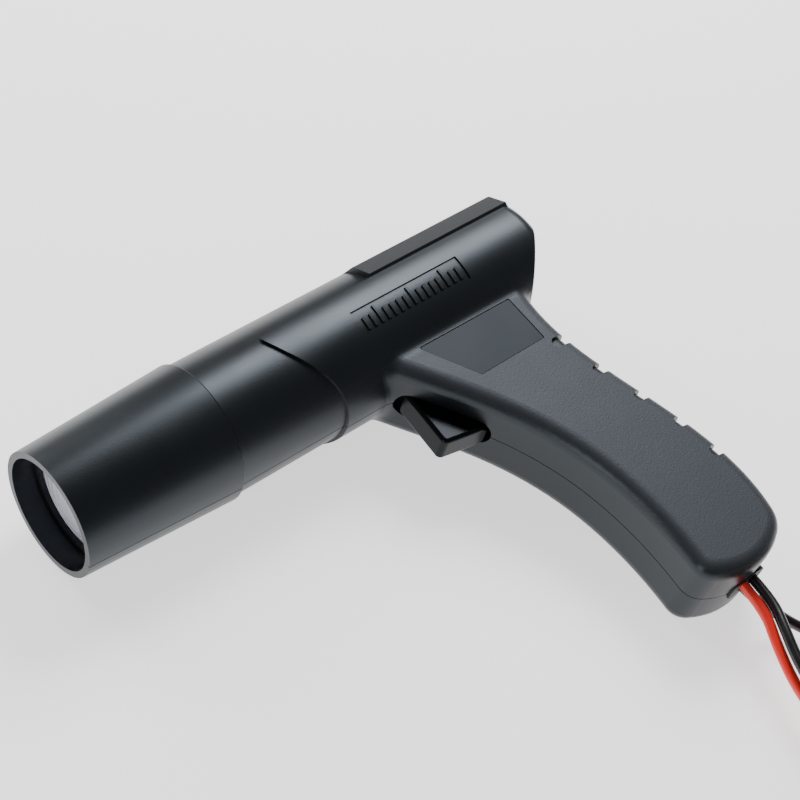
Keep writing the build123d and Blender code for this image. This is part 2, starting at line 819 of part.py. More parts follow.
for name in ("red", "black", "pickup"):
    way_in = [exit_point(name)] + lead_runs[name] + [coil_point(name, coil_ways_in[name], 0)]
    way_out = [coil_point(name, coil_ways_out[name], 1)] + tail_runs[name] + [tail_ends[name]]
    tube_in, length_in = lead_tube(way_in, name + " lead")
    tube_out, length_out = lead_tube(way_out, name + " tail")
    save(name + "_lead", Compound(children=[tube_in, tube_out]))
    with BuildPart() as coil:
        with BuildSketch(Plane.XY.offset(coil_levels[name])):
            with Locations((coil_x, coil_y)):
                Circle(coil_outer)
                Circle(coil_inner, mode=Mode.SUBTRACT)
        extrude(amount=2 * lead_diameter)
        fillet(coil.edges(), lead_diameter * 0.4)
    save(name + "_lead_coil", coil.part)
    wound = 2 * coil_turns_across * 2 * pi * coil_middle_radius
    print(name, "whole length about", round(length_in + length_out + wound))


# ================================================================ battery clips
def clip_jaw(side):
    """Pressed steel half of a clip: plate, toothed cheeks and ears; side is 1 for the moving one."""
    low = (clip_height - clip_width) / 2
    high = low + clip_width
    ear_low = low if side < 0 else low + clip_plate + sliding_gap
    ear_high = high - clip_plate if side < 0 else high - 2 * clip_plate - sliding_gap
    tip = clip_length / 2
    with BuildPart() as jaw:
        with BuildSketch(Plane.XY.offset(low)):
            with BuildLine():
                Polyline(
                    (tip, side * 0.2),
                    (tip, side * 2.6),
                    (22, side * 4.7),
                    (4, side * 5.6),
                    (-8, side * 6.4),
                    (-tip, side * 9.4),
                    (-tip, side * 8.3),
                    (-8, side * 5.3),
                    (4, side * 4.5),
                    (21.5, side * 3.6),
                    (tip - clip_plate, side * 1.8),
                    (tip - clip_plate, side * 0.2),
                    close=True,
                )
            make_face()
        extrude(amount=clip_width)
        for level in (low, high - clip_plate):
            with BuildSketch(Plane.XY.offset(level)):
                with BuildLine():
                    teeth = [(tip - 0.5 - 1.5 * i, side * (0.2 if i % 2 == 0 else 1.2)) for i in range(13)]
                    Polyline(*teeth, (8, side * 4.9), (22, side * 4.2), (tip - 0.5, side * 2.4), close=True)
                make_face()
            extrude(amount=clip_plate)
        for level in (ear_low, ear_high):
            with BuildSketch(Plane.XY.offset(level)):
                Circle(3.8)
                with BuildLine():
                    Polyline((-3.8, 0), (-5.5, side * 5.8), (5, side * 5.1), (3.8, 0), close=True)
                make_face()
            extrude(amount=clip_plate)
        with Locations((0, 0, clip_height / 2)):
            Cylinder(clip_pin / 2 + running_gap, clip_height, mode=Mode.SUBTRACT)
    return jaw.part


def clip_boot(side):
    """Soft sleeve pushed over the handle of one half."""
    back = clip_end
    front = -9.5
    with BuildPart() as boot:
        with BuildSketch(Plane.XY):
            with BuildLine():
                outer = [(back, side * 11.2), (front, side * 8.1)]
                Polyline(*outer, (front, side * 4.0), (back, side * 6.8), close=True)
            make_face()
            fillet(vertices(), 0.8)
        extrude(amount=clip_height)
        fillet(boot.edges().group_by(Axis.Z)[0] + boot.edges().group_by(Axis.Z)[-1], 1.2)
        add(clip_jaw(side), mode=Mode.SUBTRACT)
    return boot.part


def torsion_spring(radius, wire, low, high):
    """Plain coil spring standing along Z."""
    with BuildPart() as spring:
        with BuildLine():
            turns = Helix((high - low - wire) / 3.25, high - low - wire, radius, (0, 0, low + wire / 2))
        with BuildSketch(Plane(origin=turns @ 0, z_dir=turns % 0)):
            Circle(wire / 2)
        sweep(is_frenet=True)
    return spring.part


with BuildPart() as rivet:
    head = clip_pin / 2 + 0.9
    low = (clip_height - clip_width) / 2
    with Locations((0, 0, clip_height / 2)):
        Cylinder(clip_pin / 2, clip_width + 1.6)
        with Locations((0, 0, clip_width / 2 + 0.4), (0, 0, -clip_width / 2 - 0.4)):
            Cylinder(head, 0.8)
clip_spring = torsion_spring(clip_pin / 2 + 1.0, 0.8, 4.2, 7.8)
for colour, y in (("red", red_clip_y), ("black", black_clip_y)):
    place = Location((clip_x, y, 0))
    save(colour + "_clip_jaw", place * clip_jaw(-1))
    save(colour + "_clip_moving_jaw", place * clip_jaw(1))
    save(colour + "_clip_boot", place * clip_boot(-1))
    save(colour + "_clip_moving_boot", place * clip_boot(1))
    save(colour + "_clip_rivet", place * rivet.part)
    save(colour + "_clip_spring", place * clip_spring)


# ================================================================ inductive pickup clamp
knuckle = 5.0
knuckle_gap = 0.3
knuckle_low = 5.0
knuckle_high = pickup_height - knuckle_low
ferrite_low = (pickup_height - ferrite_height) / 2
ferrite_radius = pickup_bore / 2 + ferrite_wall


def pickup_half(side):
    """Moulded half of the pickup clamp; side is 1 for the moving one."""
    end = pickup_half_length
    with BuildPart() as half:
        with BuildSketch(Plane.XY):
            with BuildLine():
                Polyline(
                    (end - 2, side * 0.2),
                    (end, side * 3),
                    (end - 3, side * 13),
                    (8, side * 15),
                    (-6, side * 12.5),
                    (-30, side * 17),
                    (-end, side * 15.4),
                    (-end, side * 10.2),
                    (-5, side * 1.6),
                    (0, side * 0.2),
                    close=True,
                )
            make_face()
        extrude(amount=pickup_height)
        outer_edges = half.edges().filter_by(Axis.Z).filter_by(lambda e: abs(e.center().Y) > 11)
        fillet(outer_edges, 2.0)
        # room for the other half's knuckle, then this half's own
        if side > 0:
            others = [(0, knuckle_low + knuckle_gap), (knuckle_high - knuckle_gap, pickup_height)]
            own = [(knuckle_low + knuckle_gap, knuckle_high - knuckle_gap)]
        else:
            others = [(knuckle_low, knuckle_high)]
            own = [(0, knuckle_low), (knuckle_high, pickup_height)]
        for low, high in others:
            with Locations((0, 0, (low + high) / 2)):
                Cylinder(knuckle + knuckle_gap, high - low, mode=Mode.SUBTRACT)
        for low, high in own:
            with Locations((0, 0, (low + high) / 2)):
                Cylinder(knuckle, high - low)
        with Locations((0, 0, pickup_height / 2)):
            Cylinder(pickup_pin / 2 + running_gap, pickup_height, mode=Mode.SUBTRACT)
        with Locations((pickup_bore_x, 0, pickup_height / 2)):
            Cylinder(pickup_bore / 2 + 0.6, pickup_height, mode=Mode.SUBTRACT)
            Cylinder(ferrite_radius, ferrite_height, mode=Mode.SUBTRACT)
    return half.part


def ferrite(side):
    """Half ring of the pickup's core."""
    with BuildPart() as ring:
        with BuildSketch(Plane.XY.offset(ferrite_low)):
            with Locations((pickup_bore_x, 0)):
                Circle(ferrite_radius)
                Circle(pickup_bore / 2, mode=Mode.SUBTRACT)
            with Locations((pickup_bore_x, side * (15 + 0.1))):
                Rectangle(40, 30, mode=Mode.INTERSECT)
        extrude(amount=ferrite_height)
    return ring.part


with BuildPart() as pickup_hinge_pin:
    with Locations((0, 0, pickup_height / 2)):
        Cylinder(pickup_pin / 2, pickup_height - 1.0)
pickup_spring_x = -20.0
spring_reach = 1.6 + (-5 - pickup_spring_x - 3.85) * (10.2 - 1.6) / (pickup_half_length - 5) - 0.6
with BuildPart() as pickup_spring:
    with BuildLine():
        start = (pickup_spring_x, -spring_reach, pickup_height / 2)
        turns = Helix(2 * spring_reach / 5.25, 2 * spring_reach, 3.4, start, (0, 1, 0))
    with BuildSketch(Plane(origin=turns @ 0, z_dir=turns % 0)):
        Circle(0.45)
    sweep(is_frenet=True)

pickup_place = Location((pickup_x, pickup_y, 0))
save("pickup_body", pickup_place * pickup_half(-1))
save("pickup_jaw", pickup_place * pickup_half(1))
save("pickup_core", pickup_place * ferrite(-1))
save("pickup_jaw_core", pickup_place * ferrite(1))
save("pickup_pin", pickup_place * pickup_hinge_pin.part)
save("pickup_spring", pickup_place * pickup_spring.part)
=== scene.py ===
import math

import bmesh
import bpy
from mathutils import Matrix, Vector


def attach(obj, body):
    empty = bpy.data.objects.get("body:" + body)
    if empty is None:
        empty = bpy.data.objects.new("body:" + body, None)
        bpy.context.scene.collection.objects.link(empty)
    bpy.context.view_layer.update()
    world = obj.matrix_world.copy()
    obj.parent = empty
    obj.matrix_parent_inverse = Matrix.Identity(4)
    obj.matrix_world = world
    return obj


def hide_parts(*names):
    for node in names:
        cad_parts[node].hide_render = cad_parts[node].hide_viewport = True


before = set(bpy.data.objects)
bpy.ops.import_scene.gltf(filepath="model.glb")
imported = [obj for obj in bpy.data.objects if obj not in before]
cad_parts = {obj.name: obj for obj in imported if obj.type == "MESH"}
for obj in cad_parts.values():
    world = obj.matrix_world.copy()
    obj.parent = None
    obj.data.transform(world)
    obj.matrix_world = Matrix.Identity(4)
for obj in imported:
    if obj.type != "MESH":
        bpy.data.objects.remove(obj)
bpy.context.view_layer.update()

bl_info = {
    "name": "Timing light",
    "version": (1, 0, 0),
    "blender": (4, 5, 0),
    "location": "View3D > Sidebar > Timing light",
    "description": "Finishes the timing light: leads, trims and materials round the packed model",
    "category": "Object",
}

MM = 0.001
# Black plastics carry a bluish gloss, and their colour is faintly cloudy over this distance.
COOL_GLOSS = (0.78, 0.89, 1.0, 1.0)
CLOUD_MM = 18

# How the gun lies: the barrel's axis runs along X, and the gun is rolled about it.
ROLL = math.radians(3.0969)
MUZZLE_X = -101.5
AXIS_Y = 60.467
AXIS_Z = 25.1


def from_gun(x, y, z):
    """A point of the gun's own frame, in millimetres, as a point of the row frame in metres."""
    return Vector((
        (x + MUZZLE_X) * MM,
        (y * math.cos(ROLL) - z * math.sin(ROLL) + AXIS_Y) * MM,
        (y * math.sin(ROLL) + z * math.cos(ROLL) + AXIS_Z) * MM,
    ))


# ---------------------------------------------------------------- colours and nodes
def linear(colour):
    """An sRGB hex colour as linear RGBA."""
    parts = [int(colour[i:i + 2], 16) / 255 for i in (1, 3, 5)]
    return [c / 12.92 if c <= 0.04045 else ((c + 0.055) / 1.055) ** 2.4 for c in parts] + [1.0]


def add_node(tree, kind, settings=None, links=None):
    """Adds one node: settings by attribute or input name, links from other nodes' outputs to its inputs."""
    node = tree.nodes.new(kind)
    for key, value in (settings or {}).items():
        if isinstance(key, str) and hasattr(node, key):
            setattr(node, key, value)
        else:
            node.inputs[key].default_value = value
    for key, (source, output) in (links or {}).items():
        tree.links.new(source.outputs[output], node.inputs[key])
    return node


def new_material(name):
    """An empty node material with its shader and output, and the object's own coordinates."""
    material = bpy.data.materials.new(name)
    material.use_nodes = True
    tree = material.node_tree
    tree.nodes.clear()
    shader = add_node(tree, "ShaderNodeBsdfPrincipled")
    add_node(tree, "ShaderNodeOutputMaterial", links={"Surface": (shader, "BSDF")})
    coords = add_node(tree, "ShaderNodeTexCoord")
    return material, tree, shader, coords


def moulded(name, colour, grain_mm, grain_depth_mm, rough, rough_spread=0.05, ior=1.53, tint=None):
    """Moulded plastic: one body colour with faint cloudiness, and the tool's grain as relief."""
    material, tree, shader, coords = new_material(name)
    shader.inputs["IOR"].default_value = ior
    shader.inputs["Specular Tint"].default_value = COOL_GLOSS
    cloud = add_node(
        tree, "ShaderNodeTexNoise", {"Scale": 1 / (CLOUD_MM * MM), "Detail": 3.0}, {"Vector": (coords, "Object")}
    )
    colours = add_node(
        tree, "ShaderNodeMix", {"data_type": "RGBA", 6: linear(colour), 7: linear(tint or colour)},
        {0: (cloud, "Fac")},
    )
    tree.links.new(colours.outputs[2], shader.inputs["Base Color"])
    roughness = add_node(
        tree, "ShaderNodeMapRange", {"To Min": rough - rough_spread, "To Max": rough + rough_spread},
        {"Value": (cloud, "Fac")},
    )
    tree.links.new(roughness.outputs["Result"], shader.inputs["Roughness"])
    grain = add_node(
        tree, "ShaderNodeTexNoise", {"Scale": 1 / (grain_mm * MM), "Detail": 2.0, "Roughness": 0.6},
        {"Vector": (coords, "Object")},
    )
    relief = add_node(
        tree, "ShaderNodeBump", {"Strength": 1.0, "Distance": grain_depth_mm * MM}, {"Height": (grain, "Fac")}
    )
    tree.links.new(relief.outputs["Normal"], shader.inputs["Normal"])
    return material


# ---------------------------------------------------------------- sizes and colours to change
class TimingLightSizes(bpy.types.PropertyGroup):
    """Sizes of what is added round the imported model."""

    lead_diameter: bpy.props.FloatProperty(
        name="Lead diameter", description="Outside diameter of each lead's PVC sheath", default=0.0038,
        unit="LENGTH",
    )
    coil_radius: bpy.props.FloatProperty(
        name="Coil radius", description="Radius of a coil's outer turn, to the middle of the lead", default=0.0267,
        unit="LENGTH",
    )
    coil_steps: bpy.props.IntProperty(
        name="Steps a turn", description="Control points in each turn of a coil", default=20, min=12
    )
    tie_width: bpy.props.FloatProperty(
        name="Tie width", description="Width of the straps that hold the coils", default=0.009, unit="LENGTH"
    )
    rib_count: bpy.props.IntProperty(
        name="Boot ribs", description="Finger ribs on each boot of a battery clip", default=6, min=2
    )
    rib_pitch: bpy.props.FloatProperty(
        name="Rib pitch", description="Distance from one finger rib to the next", default=0.0024, unit="LENGTH"
    )
    rib_radius: bpy.props.FloatProperty(
        name="Rib radius", description="Radius of a finger rib's round back", default=0.0006, unit="LENGTH"
    )


class TimingLightFinish(bpy.types.PropertyGroup):
    """Colours that a user would change, as sRGB hex values."""

    case: bpy.props.StringProperty(
        name="Case", description="Body colour of the ABS half shells", default="#090b0e"
    )
    grip: bpy.props.StringProperty(
        name="Grip", description="Grained flat sides of the grip", default="#35373c"
    )
    trigger: bpy.props.StringProperty(name="Trigger", description="Colour of the trigger", default="#08090b")
    red_lead: bpy.props.StringProperty(name="Red lead", description="Colour of the red PVC", default="#f0281c")
    black_lead: bpy.props.StringProperty(name="Black lead", description="Colour of the black PVC", default="#060708")
    floor: bpy.props.StringProperty(name="Floor", description="Colour of the studio floor", default="#f4f4f4")


class TimingLightStage(bpy.types.PropertyGroup):
    """Studio light and floor."""

    key_power: bpy.props.FloatProperty(
        name="Key light", description="Power of the large soft light", default=9.0, unit="POWER"
    )
    back_power: bpy.props.FloatProperty(
        name="Back light", description="Power of the light from the rail's side", default=4.0, unit="POWER"
    )
    muzzle_power: bpy.props.FloatProperty(
        name="Muzzle light", description="Power of the light in front of the lens", default=1.5, unit="POWER"
    )
    table_glow: bpy.props.FloatProperty(
        name="Table glow", description="Light that comes up through the opal table", default=1.3
    )
    sky: bpy.props.FloatProperty(
        name="Room light", description="Strength of the even light of the room", default=0.22
    )


# ---------------------------------------------------------------- mesh helpers
def finish_mesh(name, mesh, body):
    """Puts a mesh in the scene as one finished piece on a body."""
    mesh.shade_smooth()
    piece = bpy.data.objects.new(name, mesh)
    bpy.context.scene.collection.objects.link(piece)
    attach(piece, body)


def paint(node_names, material):
    """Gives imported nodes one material."""
    for node_name in node_names:
        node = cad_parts[node_name]
        for slot in node.material_slots:
            slot.material = material


# ---------------------------------------------------------------- leads
COIL_CENTRE = Vector((0.094, -0.158, 0.0))
LEAD_PITCH = 0.0038
CLIP_PARTS = ["clip_jaw", "clip_moving_jaw", "clip_boot", "clip_moving_boot", "clip_rivet", "clip_spring"]
# Each lead: its way from the grommet, where its coil starts and ends in degrees, which way it winds and how high
# it lies, and its way to the far end. Lengths are in millimetres.
LEADS = {
    "red": {
        "way_in": [
            (75.2, -86.1, 18.77), (74.9, -97.5, 17.4), (70.6, -107.5, 14.8), (65.8, -121.5, 12.2),
            (64.6, -134.5, 10.3), (66.3, -147.0, 9.6),
        ],
        "enters": 180, "leaves": 270, "winds": 1, "level": 7.6,
        "way_out": [
            (102, -184.9, 12.6), (112, -188.5, 10), (120, -197, 7.8), (125.5, -206.6, 6.4), (134.9, -210.9, 6),
        ],
        "far": CLIP_PARTS,
    },
    "black": {
        "way_in": [
            (79.9, -86.1, 18.77), (79.2, -96.5, 18.6), (74.7, -105.2, 19.0), (68.3, -118.5, 18.2),
            (65.2, -132.5, 17.4), (65.7, -146.0, 17.2),
        ],
        "enters": 180, "leaves": 360, "winds": 1, "level": 15.2,
        "way_out": [(121.2, -149.5, 19.6), (122.2, -141.8, 15), (127.4, -136.6, 9.2), (134.9, -136.9, 6)],
        "far": CLIP_PARTS,
    },
    "pickup": {
        "way_in": [
            (77.55, -85.88, 14.58), (78.3, -93.5, 13.6), (82.6, -98.2, 10.4), (90.2, -106.9, 4.6),
            (98.9, -117.5, 2.0), (108.4, -130.3, 1.9),
        ],
        "enters": 35, "leaves": 15, "winds": -1, "level": 0.0,
        "way_out": [(122.4, -158.5, 5.4), (123.8, -167.5, 6.8), (127, -174.6, 8.8), (134, -178.8, 10)],
        "far": ["body", "jaw", "core", "jaw_core", "pin", "spring"],
    },
}
# A coil has this many turns in each of its two layers. Between turns the lead shifts over part of a turn.
RINGS = 4
SHIFT = 0.1
CLIMB = 0.15
LAST_LOW = RINGS - SHIFT


def step_up(at, start, width):
    """0 before start, 1 after start + width, and a straight rise between them."""
    return min(max((at - start) / width, 0.0), 1.0)


def coil_radius_at(turn, outer):
    """Radius of the lead's middle after so many turns: in by a pitch each turn, then out again on the upper layer."""
    inward = sum(step_up(turn, k - SHIFT, SHIFT) for k in range(1, RINGS))
    outward = sum(step_up(turn, k - SHIFT, SHIFT) for k in range(RINGS + 1, 2 * RINGS))
    return outer - LEAD_PITCH * (inward - outward)


def coil_points(lead, outer, steps):
    """Points of a lead's coil, two layers deep."""
    whole = (lead["leaves"] - lead["enters"]) * lead["winds"] % 360 / 360
    turns = 2 * RINGS - 1 + whole
    points = []
    for i in range(int(turns * steps) + 1):
        turn = i / steps
        angle = math.radians(lead["enters"] + lead["winds"] * 360 * turn)
        radius = coil_radius_at(turn, outer)
        height = lead["level"] * MM + LEAD_PITCH * (0.5 + step_up(turn, LAST_LOW - CLIMB, CLIMB))
        points.append(COIL_CENTRE + Vector((radius * math.cos(angle), radius * math.sin(angle), height)))
    return points


def lead_curve(name, points, diameter, material):
    """A lead as one smooth round curve through the air and its coil."""
    curve = bpy.data.curves.new(name, "CURVE")
    curve.dimensions = "3D"
    curve.bevel_depth = diameter / 2
    curve.bevel_resolution = 5
    curve.use_fill_caps = True
    curve.resolution_u = 5
    spline = curve.splines.new("NURBS")
    spline.points.add(len(points) - 1)
    for point, place in zip(spline.points, points):
        point.co = (*place, 1.0)
    spline.order_u = 3
    spline.use_endpoint_u = True
    curve.materials.append(material)
    piece = bpy.data.objects.new(name, curve)
    bpy.context.scene.collection.objects.link(piece)
    return piece


def measured_length(points_curve):
    """Length of a curve object's own line."""
    bare = points_curve.copy()
    bare.data = points_curve.data.copy()
    bare.data.bevel_depth = 0
    bpy.context.scene.collection.objects.link(bare)
    mesh = bpy.data.meshes.new_from_object(bare.evaluated_get(bpy.context.evaluated_depsgraph_get()))
    total = sum((mesh.vertices[e.vertices[0]].co - mesh.vertices[e.vertices[1]].co).length for e in mesh.edges)
    bpy.data.meshes.remove(mesh)
    bpy.data.objects.remove(bare)
    return total


def sheath(name, colour):
    """Soft PVC, extruded over the wire: glossy, with a slow waviness along it."""
    material, tree, shader, coords = new_material(name)
    shader.inputs["Base Color"].default_value = linear(colour)
    shader.inputs["IOR"].default_value = 1.54
    waves = add_node(
        tree, "ShaderNodeTexNoise", {"Scale": 1 / (6 * MM), "Detail": 2.0}, {"Vector": (coords, "Object")}
    )
    rough = add_node(tree, "ShaderNodeMapRange", {"To Min": 0.24, "To Max": 0.40}, {"Value": (waves, "Fac")})
    tree.links.new(rough.outputs["Result"], shader.inputs["Roughness"])
    relief = add_node(tree, "ShaderNodeBump", {"Strength": 0.6, "Distance": 0.04 * MM}, {"Height": (waves, "Fac")})
    tree.links.new(relief.outputs["Normal"], shader.inputs["Normal"])
    return material


class TIMINGLIGHT_OT_leads(bpy.types.Operator):
    """Lays the three leads from the grommet through their coils to the clips and the pickup"""

    bl_idname = "timinglight.leads"
    bl_label = "Leads"

    def execute(self, context):
        sizes = context.scene.timing_light_sizes
        finish = context.scene.timing_light_finish
        # both show a long soft highlight that breaks up a little along the lead
        red = sheath("pvc_red_extruded", finish.red_lead)
        black = sheath("pvc_black_extruded", finish.black_lead)
        pvc = {"red": red, "black": black, "pickup": black}
        for name, lead in LEADS.items():
            points = [Vector(p) * MM for p in lead["way_in"]]
            points += coil_points(lead, sizes.coil_radius, sizes.coil_steps)
            points += [Vector(p) * MM for p in lead["way_out"]]
            piece = lead_curve(name + "_lead_sheath", points, sizes.lead_diameter, pvc[name])
            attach(piece, "gun")
            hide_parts(name + "_lead", name + "_lead_coil")
            measured_length(piece)
        return {"FINISHED"}


# ---------------------------------------------------------------- case
# The grip's flat side begins below the barrel and ends at its rounded edge: distances in the gun's own axes.
FLAT_HEIGHT_MM = (15.2, 17.3)
FLAT_TOP_MM = (-19.0, -22.5)
GRIP_DULLER = 0.16
# drawn coarser than the real spark texture, so that it shows
GRIP_GRAIN_MM = 0.7
GRIP_GRAIN_DEPTH_MM = 0.10


def case_plastic(colour, plate_colour):
    """ABS from a spark-eroded tool: smooth on the barrel, and a coarser, duller grain on the grip's flat sides."""
    material = moulded("abs_spark_textured", colour, 0.45, 0.03, 0.36, ior=1.48, tint="#0a0d10")
    tree = material.node_tree
    shader = tree.nodes["Principled BSDF"]
    coords = add_node(tree, "ShaderNodeTexCoord")
    # turned back into the gun's own axes, where both flat sides lie at one distance from the parting line
    turned = add_node(
        tree, "ShaderNodeVectorRotate",
        {"rotation_type": "X_AXIS", "Center": from_gun(0, 0, 0), "Angle": -ROLL}, {"Vector": (coords, "Object")},
    )
    moved = add_node(
        tree, "ShaderNodeVectorMath", {"operation": "SUBTRACT", 1: from_gun(0, 0, 0)}, {0: (turned, "Vector")}
    )
    axes = add_node(tree, "ShaderNodeSeparateXYZ", links={"Vector": (moved, "Vector")})
    height = add_node(tree, "ShaderNodeMath", {"operation": "ABSOLUTE"}, {0: (axes, "Z")})
    flat = add_node(
        tree, "ShaderNodeMapRange",
        {"From Min": FLAT_HEIGHT_MM[0] * MM, "From Max": FLAT_HEIGHT_MM[1] * MM, "To Min": 0.0, "To Max": 1.0},
        {"Value": (height, "Value")},
    )
    below = add_node(
        tree, "ShaderNodeMapRange",
        {"From Min": FLAT_TOP_MM[0] * MM, "From Max": FLAT_TOP_MM[1] * MM, "To Min": 0.0, "To Max": 1.0},
        {"Value": (axes, "Y")},
    )
    plate = add_node(
        tree, "ShaderNodeMath", {"operation": "MULTIPLY"}, {0: (flat, "Result"), 1: (below, "Result")}
    )
    body = shader.inputs["Base Color"].links[0].from_socket
    shade = add_node(
        tree, "ShaderNodeMix", {"data_type": "RGBA", 7: linear(plate_colour)}, {0: (plate, "Value")}
    )
    tree.links.new(body, shade.inputs[6])
    tree.links.new(shade.outputs[2], shader.inputs["Base Color"])
    gloss = shader.inputs["Roughness"].links[0].from_socket
    dull = add_node(tree, "ShaderNodeMath", {"operation": "MULTIPLY_ADD", 1: GRIP_DULLER}, {0: (plate, "Value")})
    tree.links.new(gloss, dull.inputs[2])
    tree.links.new(dull.outputs["Value"], shader.inputs["Roughness"])
    coarse = add_node(
        tree, "ShaderNodeTexNoise", {"Scale": 1 / (GRIP_GRAIN_MM * MM), "Detail": 3.0, "Roughness": 0.7},
        {"Vector": (coords, "Object")},
    )
    depth = add_node(tree, "ShaderNodeMath", {"operation": "MULTIPLY"}, {0: (coarse, "Fac"), 1: (plate, "Value")})
    relief = add_node(
        tree, "ShaderNodeBump", {"Strength": 1.0, "Distance": GRIP_GRAIN_DEPTH_MM * MM},
        {"Height": (depth, "Value")},
    )
    fine = shader.inputs["Normal"].links[0].from_socket
    tree.links.new(fine, relief.inputs["Normal"])
    tree.links.new(relief.outputs["Normal"], shader.inputs["Normal"])
    return material


class TIMINGLIGHT_OT_case(bpy.types.Operator):
    """Finishes the moulded half shells, the label, the trigger and the grommet"""

    bl_idname = "timinglight.case"
    bl_label = "Case"

    def execute(self, context):
        finish = context.scene.timing_light_finish
        paint(["left_shell", "right_shell"], case_plastic(finish.case, finish.grip))
        # a flat dark satin, smoother and darker than the grip round it
        film = moulded("polyester_film_satin", "#0b1018", 0.2, 0.004, 0.45, 0.03)
        film.node_tree.nodes["Principled BSDF"].inputs["Specular IOR Level"].default_value = 0.22
        paint(["label_plate"], film)
        # near black, with a narrow highlight only along its rounded edges
        polished = moulded("abs_polished", finish.trigger, 0.6, 0.008, 0.2, 0.04)
        polished.node_tree.nodes["Principled BSDF"].inputs["Specular IOR Level"].default_value = 0.12
        paint(["trigger"], polished)
        # a dull dark ring, so that the lens stands out against it
        paint(["lens_retainer"], moulded("abs_retainer_matt", "#060708", 0.4, 0.01, 0.5))
        # the dullest black on the gun, with next to no highlight
        paint(["lead_grommet"], moulded("rubber_moulded", "#060607", 0.5, 0.02, 0.6))
        return {"FINISHED"}


# ---------------------------------------------------------------- other finishes
def plain(name, colour, rough, metallic=0.0, wear_mm=3.0, spread=0.06, bump_mm=0.005, **inputs):
    """A finish with a little unevenness in its gloss and its surface."""
    material, tree, shader, coords = new_material(name)
    shader.inputs["Base Color"].default_value = linear(colour)
    shader.inputs["Metallic"].default_value = metallic
    for key, value in inputs.items():
        shader.inputs[key.replace("_", " ")].default_value = value
    wear = add_node(
        tree, "ShaderNodeTexNoise", {"Scale": 1 / (wear_mm * MM), "Detail": 3.0}, {"Vector": (coords, "Object")}
    )
    gloss = add_node(
        tree, "ShaderNodeMapRange", {"To Min": max(rough - spread, 0.02), "To Max": rough + spread},
        {"Value": (wear, "Fac")},
    )
    tree.links.new(gloss.outputs["Result"], shader.inputs["Roughness"])
    relief = add_node(tree, "ShaderNodeBump", {"Strength": 1.0, "Distance": bump_mm * MM}, {"Height": (wear, "Fac")})
    tree.links.new(relief.outputs["Normal"], shader.inputs["Normal"])
    return material


# How much glossier and duller than its middle value brushed metal gets from stroke to stroke.
STROKE_GLOSS = (0.08, 0.12)


def brushed(name, colour, rough, along, stroke_mm=(12.0, 0.25)):
    """Metal with fine strokes along one axis, each so long and so wide."""
    material, tree, shader, coords = new_material(name)
    shader.inputs["Base Color"].default_value = linear(colour)
    shader.inputs["Metallic"].default_value = 1.0
    scale = [1 / (stroke_mm[1] * MM)] * 3
    scale[along] = 1 / (stroke_mm[0] * MM)
    stretch = add_node(tree, "ShaderNodeMapping", {"Scale": scale}, {"Vector": (coords, "Object")})
    strokes = add_node(tree, "ShaderNodeTexNoise", {"Scale": 1.0, "Detail": 2.0}, {"Vector": (stretch, "Vector")})
    gloss = add_node(
        tree, "ShaderNodeMapRange", {"To Min": rough - STROKE_GLOSS[0], "To Max": rough + STROKE_GLOSS[1]},
        {"Value": (strokes, "Fac")},
    )
    tree.links.new(gloss.outputs["Result"], shader.inputs["Roughness"])
    relief = add_node(tree, "ShaderNodeBump", {"Strength": 0.5, "Distance": 0.01 * MM}, {"Height": (strokes, "Fac")})
    tree.links.new(relief.outputs["Normal"], shader.inputs["Normal"])
    return material


# ---------------------------------------------------------------- what repeats, grown by geometry nodes
def node_group(name, inputs):
    """A geometry node tree with named inputs, and its input node."""
    tree = bpy.data.node_groups.new(name, "GeometryNodeTree")
    for key, kind, value in inputs:
        socket = tree.interface.new_socket(key, in_out="INPUT", socket_type="NodeSocket" + kind)
        socket.default_value = value
    tree.interface.new_socket("Geometry", in_out="OUTPUT", socket_type="NodeSocketGeometry")
    return tree, add_node(tree, "NodeGroupInput")


def grown(name, tree, inputs):
    """The plain mesh that a node tree makes, with the tree's inputs set by their identifiers."""
    holder = bpy.data.objects.new(name + "_tree", bpy.data.meshes.new(name + "_tree"))
    bpy.context.scene.collection.objects.link(holder)
    modifier = holder.modifiers.new("tree", "NODES")
    modifier.node_group = tree
    for item in tree.interface.items_tree:
        if item.item_type == "SOCKET" and item.in_out == "INPUT" and item.name in inputs:
            modifier[item.identifier] = inputs[item.name]
    evaluated = holder.evaluated_get(bpy.context.evaluated_depsgraph_get())
    mesh = bpy.data.meshes.new_from_object(evaluated)
    mesh.name = name
    bpy.data.objects.remove(holder)
    return mesh


